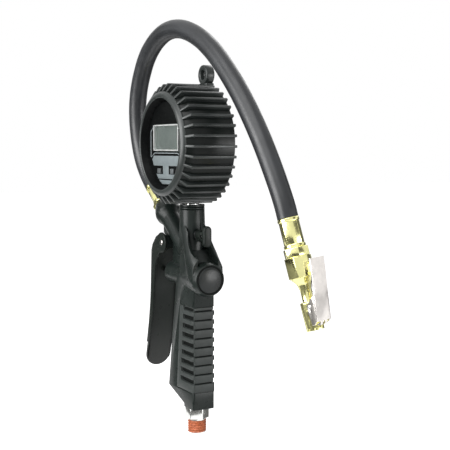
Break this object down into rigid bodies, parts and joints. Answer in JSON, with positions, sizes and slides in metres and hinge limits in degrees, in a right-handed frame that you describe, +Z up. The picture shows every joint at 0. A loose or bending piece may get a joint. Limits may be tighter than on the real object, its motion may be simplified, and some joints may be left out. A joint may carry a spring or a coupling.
{
  "type": "tyre inflator with gauge",
  "caption": "Hand-held tyre inflator: ribbed grip with squeeze lever, round digital gauge in a rubber boot, short hose with a clip-on chuck.",
  "frame": {"origin": "on the air inlet thread's axis, at the thread's lower end", "axes": "+Z up the grip and the neck, -Y the way the gauge faces, -X the lever side, +X the palm side"},
  "size_m": [0.2254, 0.056, 0.2967],
  "materials": {
    "body_plastic": "moulded nylon, fine grain",
    "grip_rubber": "soft-touch moulded rubber, dark grey",
    "lever_plastic": "moulded nylon, satin",
    "cap_plastic": "moulded nylon, satin black",
    "boot_rubber": "moulded rubber, satin",
    "hose_rubber": "smooth extruded rubber, satin",
    "seal_rubber": "nitrile rubber",
    "brass": "bright yellow plated brass",
    "sintered_brass": "sintered bronze filter",
    "plated_steel": "zinc plated, turned",
    "spring_steel": "bare spring steel",
    "clip_nickel": "bright nickel plate on pressed steel",
    "sealant": "orange thread sealant",
    "dial_black": "black printed plate, satin",
    "frame_silver": "silver painted frame",
    "display_clear": "clear display cover",
    "display_grey": "grey liquid-crystal panel, blank",
    "label_grey": "blue-grey printed label, bare",
    "button_grey": "dark silicone keys",
    "board_green": "coated circuit board",
    "battery_wrap": "plain wrapped cells, size AAA"
  },
  "bodies": {
    "inflator": {"gun_body": "body_plastic", "grip_cover": "grip_rubber", "inlet_fitting": "plated_steel", "thread_sealant": "sealant", "inlet_filter": "sintered_brass", "inlet_seal": "seal_rubber", "valve_seat": "brass", "valve_spring": "spring_steel", "stem_bush": "brass", "stem_seal": "seal_rubber", "valve_cap": "cap_plastic", "cap_seal": "seal_rubber", "lever_pin": "plated_steel", "pin_clip": "spring_steel", "deflate_spring": "spring_steel", "deflate_bush": "cap_plastic", "gauge_stem": "plated_steel", "gauge_stem_seal": "seal_rubber", "gauge_boot": "boot_rubber", "gauge_case": "body_plastic", "gauge_bezel": "cap_plastic", "dial_plate": "dial_black", "display_frame": "frame_silver", "display_window": "display_clear", "display_panel": "display_grey", "face_label": "label_grey", "dial_switches": "dial_black", "circuit_board": "board_green", "pressure_sensor": "plated_steel", "battery_tray": "body_plastic", "batteries": "battery_wrap", "battery_contacts": "spring_steel", "battery_door": "body_plastic", "door_screw": "plated_steel", "case_screws": "plated_steel", "hose_nipple": "brass", "gun_ferrule": "brass", "hose": "hose_rubber", "chuck_ferrule": "brass", "chuck_nipple": "brass", "chuck_body": "brass", "chuck_seal": "seal_rubber", "core_pin": "brass", "clip_pin": "spring_steel", "clip_spring": "spring_steel"},
    "lever": {"lever": "lever_plastic"},
    "valve_stem": {"valve_stem": "plated_steel"},
    "deflate_button": {"deflate_button": "lever_plastic", "deflate_stem": "plated_steel"},
    "left_dial_button": {"left_dial_button": "button_grey"},
    "right_dial_button": {"right_dial_button": "button_grey"},
    "clip_lever": {"clip_lever": "clip_nickel"}
  },
  "joints": [
    {"name": "lever_squeeze", "type": "hinge", "parent": "inflator", "child": "lever", "pos_m": [-0.0366, 0, 0.135], "axis": [0, -1, 0], "range_deg": [0, 11], "stiffness_Nm_per_rad": 1, "springref_deg": -2.86},
    {"name": "valve_stem_slide", "type": "slide", "parent": "inflator", "child": "valve_stem", "axis": [1, 0, 0], "range_m": [0, 0.0043], "deforming": ["valve_spring"]},
    {"name": "deflate_press", "type": "slide", "parent": "inflator", "child": "deflate_button", "axis": [-1, 0, 0], "range_m": [0, 0.003], "stiffness_N_per_m": 800, "springref_m": -0.001, "deforming": ["deflate_spring"]},
    {"name": "left_button_press", "type": "slide", "parent": "inflator", "child": "left_dial_button", "axis": [0, 1, 0], "range_m": [0, 0.0006], "stiffness_N_per_m": 1500},
    {"name": "right_button_press", "type": "slide", "parent": "inflator", "child": "right_dial_button", "axis": [0, 1, 0], "range_m": [0, 0.0006], "stiffness_N_per_m": 1500},
    {"name": "clip_squeeze", "type": "hinge", "parent": "inflator", "child": "clip_lever", "pos_m": [0.11957, 0.02138, 0.10813], "axis": [0.2733, -0.9606, -0.0502], "range_deg": [0, 7], "stiffness_Nm_per_rad": 0.5, "springref_deg": -1.15}
  ],
  "couplings": [
    {"joint": "valve_stem_slide", "follows": "lever_squeeze", "m_per_rad": 0.022}
  ]
}
